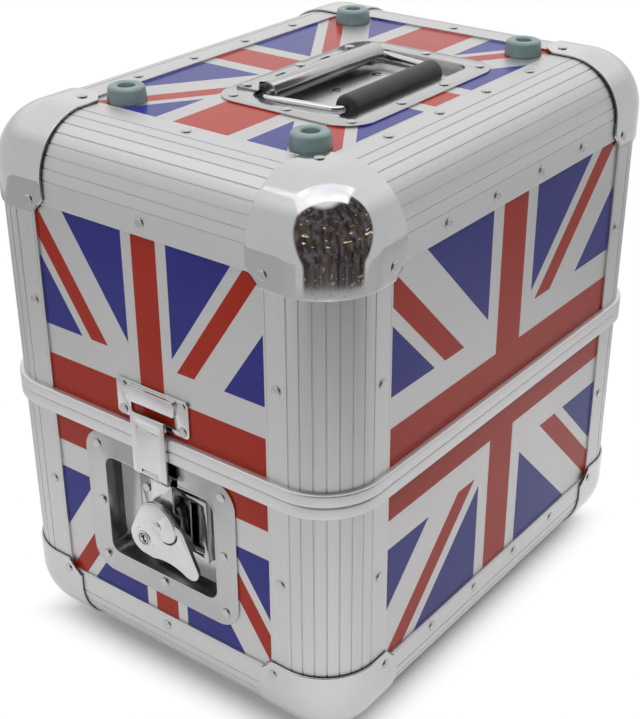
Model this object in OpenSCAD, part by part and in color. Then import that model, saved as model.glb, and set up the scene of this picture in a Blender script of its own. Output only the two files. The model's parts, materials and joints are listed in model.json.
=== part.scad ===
// Record carrying case with reeded wide-radius edges, ball corners, a folding
// lid handle and an eccentric draw latch at each end.
// X runs across the case, Y along it towards the back end, Z up from the ground.

/* [Case body] */
// Width over the edge profiles
case_w = 280; // [262:1:310]
// Length over the edge profiles
case_d = 367; // [352:1:395]
// Height over the edge profiles, without the feet
case_h = 371; // [360:1:400]
// Height of the parting line above the underside of the body
split_h = 183.5; // [181:0.5:188]
// Thickness of the wall boards
board_t = 9; // [7:0.5:10]
// Thickness of the foam lining pads
foam_t = 6; // [4:0.5:8]

/* [Edge profiles] */
// Outer radius of the rounded edges
edge_r = 38; // [34:1:40]
// Flat flange beside the rounded edge
flange_l = 13; // [12:0.5:15]
// Wall of the edge profiles
skin_t = 1.5; // [1.2:0.1:1.8]
// Number of lengthwise grooves on a rounded edge
groove_n = 8; // [4:1:10]
// Distance between neighbouring grooves, measured round the edge
groove_pitch = 7.6; // [5:0.1:8]
// Radius of a half-round groove
groove_r = 0.6; // [0.4:0.05:0.8]

/* [Closing band] */
// Height of the band on each side of the parting line
band_h = 8.5; // [7.5:0.5:10]
// How far the band stands out from the edge profiles
band_out = 3; // [2:0.1:3]
// Height of the tongue that locates the lid
tongue_h = 4; // [3:0.5:5]
// Thickness of the tongue
tongue_t = 1.6; // [1.2:0.1:2]

/* [Ball corners] */
// Sheet thickness of a ball corner
ball_t = 1.5; // [1:0.1:2]
// Reach of a ball corner along the body from the outer face
ball_reach = 61; // [58:1:66]
// Reach of a ball corner up or down from the outer face
ball_reach_up = 58; // [56:1:62]
// Corner cut of the flat tabs
ball_cut = 10.5; // [8:0.5:13]

/* [Rivets] */
// Head radius of a rivet
rivet_r = 3.2; // [2.6:0.1:3.6]
// Head height of a rivet
rivet_h = 1.3; // [0.9:0.1:1.5]
// Rivet line inwards from the outer faces
rivet_in = 42.5; // [42:0.5:45]
// Rivet line of the ball corner tabs
ball_rivet_in = 47; // [45:0.5:49]
// Spacing of the rivets along the long edges
rivet_pitch = 52.7; // [40:0.1:58]
// Height of the upright edges' rivets in the body, from its underside
rivet_up = 119.5; // [100:0.5:130]
// Height of the upright edges' rivets in the lid, from its top
rivet_down = 118.5; // [100:0.5:130]

/* [Feet] */
// Height of a rubber foot
foot_h = 15; // [14:0.5:17]
// Widest radius of a rubber foot
foot_r = 12.3; // [11:0.1:13.5]
// Radius of the neck that stands on the board
foot_neck_r = 10.2; // [9:0.1:10.8]
// Foot axis inwards from the long sides
foot_in_x = 66.5; // [65:0.5:72]
// Foot axis inwards from the latch ends
foot_in_y = 64; // [63:0.5:70]

/* [Latch dish] */
// Width of the dish flange
dish_w = 126; // [118:1:132]
// Height of the dish flange
dish_h = 108; // [104:1:110]
// Corner radius of the dish flange
dish_r = 17; // [10:1:20]
// Sheet thickness of the dish
dish_t = 1.2; // [1:0.1:1.4]
// Width of the dish opening
recess_w = 92; // [88:1:94]
// Height of the dish opening
recess_h = 74; // [72:1:76]
// Corner radius of the dish opening
recess_r = 8; // [4:1:12]
// Depth of the dish floor behind the edge profile's outer face
recess_depth = 14; // [13.5:0.5:16]

/* [Latch mechanism] */
// Turning axis above the middle of the dish
hub_up = 2.5; // [1:0.5:3.5]
// Throw of the eccentric
throw = 3; // [2:0.1:3]
// Radius of the eccentric disc
eccentric_r = 8; // [7.5:0.1:8.5]
// Radius of the turning pin
pivot_r = 2.5; // [2:0.1:2.8]
// Radius of the drum behind the eccentric
drum_r = 8.5; // [7:0.1:9.5]
// Radius of the wing's hub disc
wing_hub_r = 16.5; // [14:0.5:17]
// Radius of the wing's lock lobe
lobe_r = 12; // [9:0.5:12.5]
// Radius of the wing's ear
ear_r = 6.5; // [5:0.5:6.5]
// Plate thickness of the wing
wing_t = 2.6; // [2:0.1:2.6]
// Radius of the lock cylinder
lock_r = 5.5; // [4.5:0.1:6]
// Sheet thickness of the arm, link and bracket
link_t = 1.5; // [1.2:0.1:1.6]
// Width of the draw arm
arm_w = 28; // [24:1:32]
// Depth of the draw arm's folded sides
arm_side = 1; // [0.6:0.1:1.5]
// Top of the draw arm above the parting line
arm_top = 20.5; // [18:0.5:22]
// Radius of the arm's hinge knuckles
knuckle_r = 2.2; // [2:0.05:2.3]
// Radius of the arm's hinge pin
arm_pin_r = 1.2; // [0.9:0.1:1.4]

/* [Keeper] */
// Width of the keeper plate
keeper_w = 59; // [54:1:66]
// Height of the keeper plate
keeper_h = 25.5; // [25:0.5:30]
// Width of the keeper's window
keeper_window_w = 36; // [34:1:38]
// How far the keeper's bar stands out from its plate
keeper_bar_out = 2.6; // [1.5:0.1:2.6]

/* [Handle] */
// Width of the handle dish across the case
grip_dish_w = 117; // [114:1:120]
// Length of the handle dish along the case
grip_dish_d = 166; // [162:1:172]
// Corner radius of the handle dish
grip_dish_r = 16; // [8:1:20]
// Length of the opening in the handle dish
grip_open_d = 136; // [132:1:138]
// Corner radius of the opening in the handle dish
grip_open_r = 10; // [6:0.5:12]
// Handle hinge line from the middle of the lid
hinge_x = -9; // [-12:0.5:-7]
// Distance from the hinge line to the grip
bail_l = 53; // [50:0.5:55]
// Distance between the arms of the bail at the hinge
bail_w = 124; // [122:0.5:126]
// Distance between the arms of the bail at the grip
bail_grip_w = 108; // [106:0.5:114]
// Wire diameter of the bail
wire_d = 5.5; // [4.5:0.1:5.8]
// Bend radius of the bail at the wire's centre
bend_r = 5; // [4:0.5:5]
// Radius of the rubber grip
grip_r = 8.2; // [7.5:0.1:8.4]
// Length of the rubber grip
grip_l = 97; // [88:1:97]
// Length of the hinge tube
tube_l = 114; // [100:1:115]
// Outer radius of the hinge tube
tube_r = 7.5; // [7:0.1:7.8]

/* [Fits] */
// Gap between pieces that slide or move past each other
move_gap = 0.3; // [0.2:0.05:0.3]
// Gap between pieces that sit on or in each other
seat_gap = 0.1; // [0.05:0.05:0.15]
// Radial clearance of the pins in their bores
pin_gap = 0.05; // [0.03:0.01:0.1]

/* [Hidden] */
$fn = 96;
eps = 0.01;
over = 1;

// Colours of the finishes
silver = [0.74, 0.74, 0.72];
chrome = [0.86, 0.87, 0.88];
zinc = [0.80, 0.80, 0.80];
laminate = [0.70, 0.70, 0.68];
rubber_green = [0.42, 0.50, 0.49];
rubber_black = [0.10, 0.11, 0.11];
foam_grey = [0.16, 0.16, 0.17];

// Levels and planes of the body
half_w = case_w / 2;
half_d = case_d / 2;
foam_r = edge_r - 8;
body_z = foot_h - skin_t;
top_z = body_z + case_h;
split_z = body_z + split_h;
leg_t = skin_t;
inner_t = skin_t + board_t + leg_t;
web_t = skin_t;
board_in = edge_r + web_t + seat_gap;
flange_end = edge_r + flange_l;

// Latch levels, as depths behind the outer face of the edge profiles
dish_mid_z = split_z - band_h - dish_h / 2 - 2 * move_gap;
hub_z = dish_mid_z + hub_up;
flange_y = skin_t - dish_t;
bead_h = 0.4;
bead_w = 1.2;
wing_back = flange_y - bead_h - move_gap;
wing_front = wing_back - wing_t;
hub_disc_t = 0.8;
hub_front = wing_front - hub_disc_t;
boss_r = 9;
boss_end = 2.5;
link_front = boss_end + 0.5;
link_back = link_front + link_t;
drum_front = link_back + 0.4;
bracket_front = recess_depth - 4;
arm_inner = -band_out - move_gap;
arm_front = arm_inner - arm_side - link_t;
knuckle_y = arm_front + knuckle_r;
knuckle_z = dish_mid_z + recess_h / 2 + knuckle_r + 2.5;
link_w = 18;
centre_knuckle_w = 13.4;
knuckle_gap = move_gap;
bend_z = dish_mid_z + recess_h / 2 - 5.5;
notch_w = arm_w + 6;
notch_top = (dish_h - recess_h) / 2;
notch_depth = link_back + 0.8;
lock_pos = [-12, -14];
ear_pos = [27, -23.5];
shoulder_pos = [15, -2.5];
shoulder_r = 8.5;
waist_pos = [6, -60];
waist_r = 35;
crescent_pos = [7.6, -0.6];
crescent_r = 9.6;
bracket_rivet = [-20, 15];
bracket_hole = [-21, -2];
yoke_half_x = eccentric_r + throw + 0.4;
yoke_half_z = eccentric_r + 0.8;
yoke_rim = 4;
dish_rivet_x = dish_w / 2 - 10.5;
dish_rivet_z = dish_h / 2 - 10.5;

// Keeper levels
keeper_z = split_z + band_h + 3.5;
keeper_rivet_x = keeper_w / 2 - 5;
keeper_rivet_in = 4;
keeper_window_z = keeper_z + 4;
keeper_window_h = 10;
keeper_bar_t = 1.2;

// Handle levels
plate_top = top_z - skin_t + dish_t;
wire_r = wire_d / 2;
grip_floor = top_z - skin_t - board_t - move_gap / 2;
hinge_z = grip_floor + grip_r + move_gap;
grip_x = hinge_x + bail_l;
dish_x0 = hinge_x - 31;
handle_open_x0 = hinge_x - tube_r;
handle_open_x1 = grip_x + grip_r + 8;
tube_t = 1.2;
bushing_l = 8;
bushing_y = bail_w / 2 - bend_r - bushing_l / 2 - 2;
strap_x0 = hinge_x - 27;
strap_y = 61;
strap_rivet_x = strap_x0 + 4.5;
strap_rivet_y = 54;
slot_x = strap_x0 + 7;
slot_y = 23.5;
slot_l = 7;
slot_r = 1.2;
handle_rivets = [
    [dish_x0 + 13, grip_dish_d / 2 - 8], [dish_x0 + 59, grip_dish_d / 2 - 7.5],
    [dish_x0 + grip_dish_w - 12, grip_dish_d / 2 - 12], [dish_x0 + grip_dish_w - 9, 23]
];
floor_rivet_x = hinge_x + 11;
floor_rivet_y = 44;

// Feet
foot_places = [for (sx = [-1, 1], sy = [-1, 1]) [sx * (half_w - foot_in_x), sy * (half_d - foot_in_y)]];
foot_neck_h = 3.5;
foot_bore_r = 5;
foot_floor = 5;

// Flat outlines
module rounded_rect(w, h, r) {
    square([w - 2 * r, h], center = true);
    square([w, h - 2 * r], center = true);
    for (sx = [-1, 1], sy = [-1, 1])
        translate([sx * (w / 2 - r), sy * (h / 2 - r)])
            circle(r);
}

// Bridge between two circles along their two outer tangents
function tangent_turn(a, ra, b, rb) = acos((ra - rb) / norm(b - a));
function heading(a, b) = atan2(b[1] - a[1], b[0] - a[0]);
function on_circle(c, r, a) = c + r * [cos(a), sin(a)];
module tangent_bridge(a, ra, b, rb) {
    t = tangent_turn(a, ra, b, rb);
    h = heading(a, b);
    polygon([a, on_circle(a, ra, h - t), on_circle(b, rb, h - t), b,
             on_circle(b, rb, h + t), on_circle(a, ra, h + t)]);
}

// Turns a flat outline in X and Z into a plate that runs from depth y0 to y1
module plate_xz(y0, y1) {
    translate([0, y1, 0])
        rotate([90, 0, 0])
            linear_extrude(y1 - y0)
                children();
}

// Round bar along Y from depth y0 to y1
module bar_y(r, y0, y1) {
    translate([0, y1, 0])
        rotate([90, 0, 0])
            cylinder(r = r, h = y1 - y0);
}

// Round bar along X from x0 to x1
module bar_x(r, x0, x1) {
    translate([x0, 0, 0])
        rotate([0, 90, 0])
            cylinder(r = r, h = x1 - x0);
}

// Moves a profile drawn in X and Y so that it lies in Y and Z and runs along X
module turn_to_x() {
    rotate([90, 0, 90])
        children();
}

// Puts a piece drawn for the front left corner at the corner named by its signs
module at_corner(sx, sy) {
    mirror([sx > 0 ? 1 : 0, 0, 0])
        mirror([0, sy > 0 ? 1 : 0, 0])
            translate([-half_w, -half_d, 0])
                children();
}

// Latches: drawn at the front end, turned half round for the back end
module at_end(back) {
    rotate([0, 0, back ? 180 : 0])
        translate([0, -half_d, 0])
            children();
}

// Edge profile: section measured inwards from the outer edge of the case
module edge_section() {
    board_back = skin_t + board_t;
    groove_step = groove_pitch / edge_r * 180 / PI;
    difference() {
        union() {
            intersection() {
                square(edge_r);
                translate([edge_r, edge_r])
                    difference() {
                        circle(edge_r);
                        circle(edge_r - skin_t);
                    }
            }
            for (m = [0, 1])
                mirror([m, -m])
                    union() {
                        translate([edge_r, 0])
                            square([flange_l, skin_t]);
                        translate([edge_r, 0])
                            square([web_t, inner_t]);
                        translate([board_back, board_back])
                            square([flange_end - board_back, leg_t]);
                    }
        }
        translate([edge_r, edge_r])
            for (i = [0 : groove_n - 1])
                rotate(225 + (i - (groove_n - 1) / 2) * groove_step)
                    translate([edge_r, 0])
                        circle(groove_r, $fn = 24);
        for (m = [0, 1])
            mirror([m, -m])
                translate([flange_end - 1.8, 0])
                    circle(groove_r / 2, $fn = 24);
    }
}

// Mitre that leaves room for the flange of the profile that crosses at an end
module mitre_cut() {
    reach = flange_end + over;
    for (m = [0, 1])
        mirror([m, -m, 0])
            translate([0, inner_t + over, 0])
                rotate([90, 0, 0])
                    linear_extrude(inner_t + 2 * over)
                        polygon([[edge_r - over, edge_r - over - seat_gap],
                                 [reach + over, edge_r - over - seat_gap],
                                 [reach + over, reach + over + seat_gap / 2],
                                 [edge_r - over, edge_r - over + seat_gap / 2]]);
}

// Edge profile between two outer faces, mitred at its lower end and, if both, at its upper end
module edge_bar(face_to_face, both) {
    start = edge_r + move_gap;
    stop = both ? face_to_face - start : face_to_face;
    difference() {
        translate([0, 0, start])
            linear_extrude(stop - start)
                edge_section();
        mitre_cut();
        if (both)
            translate([0, 0, face_to_face])
                mirror([0, 0, 1])
                    mitre_cut();
    }
}

module base_upright(sx, sy) {
    color(silver)
        at_corner(sx, sy)
            translate([0, 0, body_z])
                edge_bar(split_h - band_h, false);
}

module lid_upright(sx, sy) {
    color(silver)
        at_corner(sx, sy)
            translate([0, 0, top_z])
                mirror([0, 0, 1])
                    edge_bar(case_h - split_h - band_h, false);
}

// Level edges of one half, drawn at the underside of the body
module cross_edge(sy) {
    at_corner(-1, sy)
        turn_to_x()
            edge_bar(case_w, true);
}

module long_edge(sx) {
    at_corner(sx, -1)
        turn_to_x()
            turn_to_x()
                edge_bar(case_d, true);
}

module in_base() {
    color(silver)
        translate([0, 0, body_z])
            children();
}

module in_lid() {
    color(silver)
        translate([0, 0, top_z])
            mirror([0, 0, 1])
                children();
}

// Boards: flat panels that sit in the slots of the edge profiles
module end_board(z0, z1) {
    translate([-half_w + board_in, -half_d + skin_t, z0])
        cube([case_w - 2 * board_in, board_t, z1 - z0]);
}

module side_board(sx, z0, z1) {
    mirror([sx > 0 ? 1 : 0, 0, 0])
        translate([-half_w + skin_t, -half_d + board_in, z0])
            cube([board_t, case_d - 2 * board_in, z1 - z0]);
}

module level_board() {
    translate([-half_w + board_in, -half_d + board_in, skin_t])
        cube([case_w - 2 * board_in, case_d - 2 * board_in, board_t]);
}

module dish_board_hole() {
    gap = dish_t + move_gap;
    translate([0, -half_d, 0])
        plate_xz(0, inner_t + over) {
            translate([0, dish_mid_z])
                rounded_rect(recess_w + 2 * gap, recess_h + 2 * gap, recess_r + gap);
            translate([-notch_w / 2 - gap, dish_mid_z])
                square([notch_w + 2 * gap, recess_h / 2 + notch_top + gap]);
        }
}

base_rim_z = split_z - 2;
lid_rim_z = split_z + tongue_h + 2;

module base_end_panel(back) {
    color(laminate)
        rotate([0, 0, back ? 180 : 0])
            difference() {
                end_board(body_z + board_in, base_rim_z);
                dish_board_hole();
            }
}

module base_side_panel(sx) {
    color(laminate)
        side_board(sx, body_z + board_in, base_rim_z);
}

module base_floor_panel() {
    color(laminate)
        translate([0, 0, body_z])
            level_board();
}

module lid_end_panel(back) {
    color(laminate)
        rotate([0, 0, back ? 180 : 0])
            end_board(lid_rim_z, top_z - board_in);
}

module lid_side_panel(sx) {
    color(laminate)
        side_board(sx, lid_rim_z, top_z - board_in);
}

module handle_opening(grow) {
    translate([(handle_open_x0 + handle_open_x1) / 2, 0])
        rounded_rect(handle_open_x1 - handle_open_x0 + 2 * grow,
                     grip_open_d + 2 * grow, grip_open_r + grow);
}

module lid_top_panel() {
    color(laminate)
        difference() {
            translate([0, 0, top_z])
                mirror([0, 0, 1])
                    level_board();
            translate([0, 0, top_z - inner_t - over])
                linear_extrude(inner_t + 2 * over)
                    handle_opening(dish_t + move_gap);
        }
}

// Closing band: section as [out from the outer face, up from the parting line]
lip = 0.6;
slack = move_gap / 2;
tongue_out = -skin_t - 0.7;
board_far = -skin_t - board_t;
leg_far = board_far - leg_t;

function band_face(s) = [
    [-skin_t, s * band_h], [band_out - 0.8, s * band_h], [band_out, s * (band_h - 0.8)],
    [band_out, s * lip], [band_out - lip, 0]
];
function base_tongue() = [
    [tongue_out, 0], [tongue_out, tongue_h], [tongue_out - tongue_t, tongue_h]
];
function base_straight_section() = concat(band_face(-1), base_tongue(), [
    [tongue_out - tongue_t, 0], [leg_far, 0], [leg_far, -band_h], [board_far, -band_h],
    [board_far, base_rim_z - split_z], [-skin_t, base_rim_z - split_z]
]);
function base_bend_section() = concat(band_face(-1), base_tongue(), [
    [tongue_out - tongue_t, base_rim_z - split_z], [-skin_t, base_rim_z - split_z]
]);
function lid_groove() = [
    [tongue_out - tongue_t - slack, 0], [tongue_out - tongue_t - slack, tongue_h + slack],
    [tongue_out + slack, tongue_h + slack], [tongue_out + slack, 0]
];
function lid_straight_section() = concat(
    [[board_far, band_h], [leg_far, band_h], [leg_far, 0]], lid_groove(),
    [for (i = [4 : -1 : 0]) band_face(1)[i]],
    [[-skin_t, lid_rim_z - split_z], [board_far, lid_rim_z - split_z]]
);
function lid_bend_section() = concat(
    [[tongue_out - tongue_t - slack - skin_t, lid_rim_z - split_z],
     [tongue_out - tongue_t - slack - skin_t, 0]], lid_groove(),
    [for (i = [4 : -1 : 0]) band_face(1)[i]],
    [[-skin_t, lid_rim_z - split_z]]
);

// Runs one section round the case: straight stretches joined by bends of the edge radius
module band_ring(straight, bend) {
    run_x = case_w - 2 * edge_r;
    run_y = case_d - 2 * edge_r;
    for (a = [0, 180])
        rotate([0, 0, a]) {
            translate([run_x / 2, -half_d, 0])
                rotate([90, 0, -90])
                    linear_extrude(run_x)
                        polygon(straight);
            translate([half_w, run_y / 2, 0])
                rotate([90, 0, 0])
                    linear_extrude(run_y)
                        polygon(straight);
        }
    for (sx = [-1, 1], sy = [-1, 1])
        at_corner(sx, sy)
            translate([edge_r, edge_r, 0])
                rotate([0, 0, 180])
                    rotate_extrude(angle = 90)
                        polygon([for (p = bend) [p[0] + edge_r, p[1]]]);
}

module base_band() {
    color(silver)
        translate([0, 0, split_z])
            band_ring(base_straight_section(), base_bend_section());
}

module lid_band() {
    color(silver)
        translate([0, 0, split_z])
            band_ring(lid_straight_section(), lid_bend_section());
}

// Ball corner: sheet shell drawn for the corner at the origin, inside towards plus
ball_gap = move_gap;
ball_in_r = edge_r + ball_gap;
ball_out_r = ball_in_r + ball_t;

module ball_sleeve(reach) {
    linear_extrude(reach - edge_r)
        intersection() {
            difference() {
                circle(ball_out_r);
                circle(ball_in_r);
            }
            translate([-ball_out_r, -ball_out_r])
                square(ball_out_r);
        }
}

module ball_tab(reach_a, reach_b) {
    translate([0, 0, -ball_out_r])
        linear_extrude(ball_t)
            polygon([[0, 0], [reach_a - edge_r, 0],
                     [reach_a - edge_r, reach_b - edge_r - ball_cut],
                     [reach_a - edge_r - ball_cut, reach_b - edge_r],
                     [0, reach_b - edge_r]]);
}

module ball_corner() {
    translate([edge_r, edge_r, edge_r]) {
        intersection() {
            difference() {
                sphere(ball_out_r);
                sphere(ball_in_r);
            }
            translate([-ball_out_r, -ball_out_r, -ball_out_r])
                cube(ball_out_r);
        }
        ball_sleeve(ball_reach_up);
        ball_tab(ball_reach, ball_reach);
        turn_to_x() {
            ball_sleeve(ball_reach);
            ball_tab(ball_reach, ball_reach_up);
        }
        turn_to_x()
            turn_to_x() {
                ball_sleeve(ball_reach);
                ball_tab(ball_reach_up, ball_reach);
            }
    }
}

module ball_corners() {
    for (sx = [-1, 1], sy = [-1, 1])
        at_corner(sx, sy)
            ball_corner();
}

module base_ball_corners() {
    color(chrome)
        translate([0, 0, body_z])
            ball_corners();
}

module lid_ball_corners() {
    color(chrome)
        translate([0, 0, top_z])
            mirror([0, 0, 1])
                ball_corners();
}

// Rubber foot, drawn standing up from the board that it is screwed to
module foot() {
    difference() {
        rotate_extrude()
            difference() {
                union() {
                    square([foot_neck_r, foot_h]);
                    translate([0, foot_neck_h])
                        square([foot_r, 4]);
                    polygon([[0, foot_neck_h + 4], [foot_r, foot_neck_h + 4],
                             [foot_r - 1.2, foot_h - 2.2], [0, foot_h - 2.2]]);
                    translate([foot_r - 1.2 - 2.2, foot_h - 2.2])
                        circle(2.2, $fn = 48);
                    square([foot_r - 1.2 - 2.2, foot_h]);
                }
                translate([0, -over])
                    square([pivot_r, foot_h + 2 * over]);
                translate([0, foot_floor])
                    square([foot_bore_r, foot_h]);
            }
    }
}

module feet() {
    for (p = foot_places)
        translate([p[0], p[1], skin_t])
            mirror([0, 0, 1])
                foot();
}

module base_feet() {
    color(rubber_green)
        translate([0, 0, body_z])
            feet();
}

module lid_feet() {
    color(rubber_green)
        translate([0, 0, top_z])
            mirror([0, 0, 1])
                feet();
}

// Domed fastener head, standing on the face at the origin towards plus Z
module head(r, h) {
    dome_r = (r * r + h * h) / (2 * h);
    rotate_extrude()
        intersection() {
            translate([0, h - dome_r])
                circle(dome_r);
            square([r, h]);
        }
}

module rivet() {
    head(rivet_r, rivet_h);
}

// Head that faces out of the front end, and out of a long side
module head_front() {
    rotate([90, 0, 0])
        children();
}

module head_left() {
    rotate([0, -90, 0])
        children();
}

module foot_screw() {
    translate([0, 0, foot_floor])
        head(foot_bore_r - 0.8, 1.6);
    cylinder(r = pivot_r - pin_gap, h = foot_floor);
}

// Rivets and screws of one half, drawn for the half that stands on the origin
module half_fasteners(mid_z) {
    long_row = [for (i = [-1.5 : 1 : 1.5]) i * rivet_pitch];
    tab_out = edge_r - ball_out_r;
    for (sy = [-1, 1])
        mirror([0, sy > 0 ? 1 : 0, 0]) {
            translate([0, -half_d, rivet_in])
                head_front() rivet();
            translate([0, -half_d + rivet_in, 0])
                mirror([0, 0, 1]) rivet();
            for (sx = [-1, 1])
                translate([sx * (half_w - rivet_in), -half_d, mid_z])
                    head_front() rivet();
        }
    for (sx = [-1, 1])
        mirror([sx > 0 ? 1 : 0, 0, 0]) {
            for (y = long_row) {
                translate([-half_w, y, rivet_in])
                    head_left() rivet();
                translate([-half_w + rivet_in, y, 0])
                    mirror([0, 0, 1]) rivet();
            }
            for (sy = [-1, 1])
                translate([-half_w, sy * (half_d - rivet_in), mid_z])
                    head_left() rivet();
        }
    for (sx = [-1, 1], sy = [-1, 1])
        at_corner(sx, sy) {
            translate([ball_rivet_in, tab_out, ball_rivet_in])
                head_front() rivet();
            translate([tab_out, ball_rivet_in, ball_rivet_in])
                head_left() rivet();
            translate([ball_rivet_in, ball_rivet_in, tab_out])
                mirror([0, 0, 1]) rivet();
        }
    for (p = foot_places)
        translate([p[0], p[1], skin_t])
            mirror([0, 0, 1])
                foot_screw();
}

module dish_rivets() {
    translate([0, flange_y, dish_mid_z])
        for (p = [[-1, -1], [-1, 0], [-1, 1], [1, -1], [1, 0], [1, 1], [0, -1]])
            translate([p[0] * dish_rivet_x, 0, p[1] * dish_rivet_z])
                head_front() rivet();
    translate([bracket_rivet[0], bracket_front, hub_z + bracket_rivet[1]])
        head_front() head(rivet_r - 0.4, rivet_h);
}

module base_fasteners() {
    color(zinc) {
        translate([0, 0, body_z])
            half_fasteners(rivet_up);
        at_end(false)
            dish_rivets();
        at_end(true)
            dish_rivets();
    }
}

module keeper_rivets() {
    for (sx = [-1, 1], z = [keeper_z + keeper_rivet_in, keeper_z + keeper_h - keeper_rivet_in])
        translate([sx * keeper_rivet_x, 0, z])
            head_front() rivet();
}

module lid_fasteners() {
    color(zinc) {
        translate([0, 0, top_z])
            mirror([0, 0, 1])
                half_fasteners(rivet_down);
        at_end(false)
            keeper_rivets();
        at_end(true)
            keeper_rivets();
        for (p = handle_rivets, sy = [-1, 1])
            translate([p[0], sy * p[1], plate_top])
                rivet();
        for (i = [-1 : 1]) {
            translate([strap_rivet_x, i * strap_rivet_y, plate_top + tube_t])
                rivet();
            translate([floor_rivet_x, i * floor_rivet_y, grip_floor])
                rivet();
        }
    }
}

// Foam pads that line the floor and the lid
module foam_pad() {
    reach = inner_t + 0.5;
    translate([0, 0, inner_t])
        linear_extrude(foam_t)
            rounded_rect(case_w - 2 * reach, case_d - 2 * reach, foam_r);
}

module base_foam() {
    color(foam_grey)
        translate([0, 0, body_z])
            foam_pad();
}

module lid_foam() {
    color(foam_grey)
        translate([0, 0, top_z])
            mirror([0, 0, 1])
                foam_pad();
}

// Latch dish: flange on the board, pressed cup behind it, notch for the draw link
module latch_dish() {
    color(zinc)
        difference() {
            union() {
                plate_xz(flange_y, flange_y + dish_t)
                    translate([0, dish_mid_z])
                        difference() {
                            rounded_rect(dish_w, dish_h, dish_r);
                            rounded_rect(recess_w, recess_h, recess_r);
                        }
                plate_xz(flange_y - bead_h, flange_y)
                    translate([0, dish_mid_z])
                        difference() {
                            rounded_rect(recess_w + 2 * bead_w, recess_h + 2 * bead_w, recess_r + bead_w);
                            rounded_rect(recess_w, recess_h, recess_r);
                        }
                plate_xz(flange_y + dish_t, recess_depth)
                    translate([0, dish_mid_z])
                        difference() {
                            rounded_rect(recess_w + 2 * dish_t, recess_h + 2 * dish_t, recess_r + dish_t);
                            rounded_rect(recess_w, recess_h, recess_r);
                        }
                plate_xz(recess_depth, recess_depth + dish_t)
                    translate([0, dish_mid_z])
                        rounded_rect(recess_w + 2 * dish_t, recess_h + 2 * dish_t, recess_r + dish_t);
            }
            translate([-notch_w / 2, flange_y - over, dish_mid_z + recess_h / 2 - over])
                cube([notch_w, notch_depth + over, notch_top + 2 * over]);
        }
}

// Raised bracket on the dish floor that carries the turning pin
bracket_x = [-26, 31];
bracket_z = [-23, 23];
bracket_window = [[17, -19], [28, 19]];

module latch_bracket() {
    foot_x = [bracket_x[0], bracket_x[1] - link_t];
    window = bracket_window;
    color(zinc)
        translate([0, 0, hub_z]) {
            plate_xz(bracket_front, bracket_front + link_t)
                difference() {
                    translate([bracket_x[0], bracket_z[0]])
                        square([bracket_x[1] - bracket_x[0], bracket_z[1] - bracket_z[0]]);
                    circle(pivot_r + pin_gap);
                    translate((window[0] + window[1]) / 2)
                        rounded_rect(window[1][0] - window[0][0], window[1][1] - window[0][1], 3.5);
                    translate(bracket_hole)
                        circle(1.5, $fn = 32);
                }
            for (x = foot_x)
                translate([x, bracket_front + link_t, bracket_z[0]])
                    cube([link_t, recess_depth - bracket_front - link_t, bracket_z[1] - bracket_z[0]]);
        }
}

module latch_pivot() {
    color(zinc)
        translate([0, 0, hub_z]) {
            bar_y(pivot_r, hub_front - seat_gap, recess_depth);
            translate([0, hub_front - seat_gap, 0])
                head_front() head(pivot_r + 1.2, 1);
        }
}

// Cam: boss behind the wing, eccentric disc that drives the link, and drum
module latch_cam() {
    color(zinc)
        translate([0, 0, hub_z])
            difference() {
                union() {
                    bar_y(boss_r, wing_back, boss_end);
                    translate([0, 0, -throw])
                        bar_y(eccentric_r, boss_end, drum_front);
                    bar_y(drum_r, drum_front, bracket_front - 0.2);
                }
                bar_y(pivot_r + pin_gap, wing_back - over, bracket_front + over);
            }
}

// Wing: the thumb turn, a rounded three-cornered plate with a lock lobe, a shoulder and an ear
module wing_outline() {
    difference() {
        union() {
            circle(wing_hub_r);
            translate(lock_pos)
                circle(lobe_r);
            translate(ear_pos)
                circle(ear_r);
            translate(shoulder_pos)
                circle(shoulder_r);
            tangent_bridge([0, 0], wing_hub_r, lock_pos, lobe_r);
            tangent_bridge(lock_pos, lobe_r, ear_pos, ear_r);
            tangent_bridge(ear_pos, ear_r, shoulder_pos, shoulder_r);
            polygon([[0, 0], lock_pos, ear_pos, shoulder_pos]);
        }
        translate(waist_pos)
            circle(waist_r);
    }
}

// Crescent slot that sets the hub off from the ear
module crescent() {
    difference() {
        translate(crescent_pos)
            circle(crescent_r);
        translate(crescent_pos + [-0.8, 0.8])
            circle(crescent_r - 0.2);
        translate([-crescent_r, 0])
            square(4 * crescent_r);
        translate([-3 * crescent_r, -3 * crescent_r])
            square([3 * crescent_r + 5, 6 * crescent_r]);
    }
}

module latch_wing() {
    color(zinc)
        translate([0, 0, hub_z])
            difference() {
                union() {
                    plate_xz(wing_front, wing_back)
                        wing_outline();
                    plate_xz(hub_front, wing_front) {
                        circle(wing_hub_r - 0.8);
                        translate(lock_pos)
                            circle(lock_r + 2.5);
                    }
                }
                bar_y(pivot_r + pin_gap, hub_front - over, wing_back + over);
                plate_xz(hub_front - over, wing_back + over)
                    crescent();
                translate([lock_pos[0], 0, lock_pos[1]])
                    bar_y(lock_r + pin_gap, hub_front - over, wing_back + over);
            }
}

module lock_cylinder() {
    color(chrome)
        translate([lock_pos[0], 0, hub_z + lock_pos[1]])
            difference() {
                bar_y(lock_r, hub_front - move_gap, boss_end - 0.1);
                translate([-0.6, hub_front - over, -3])
                    cube([1.2, over + 1.6, 6]);
            }
}

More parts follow.
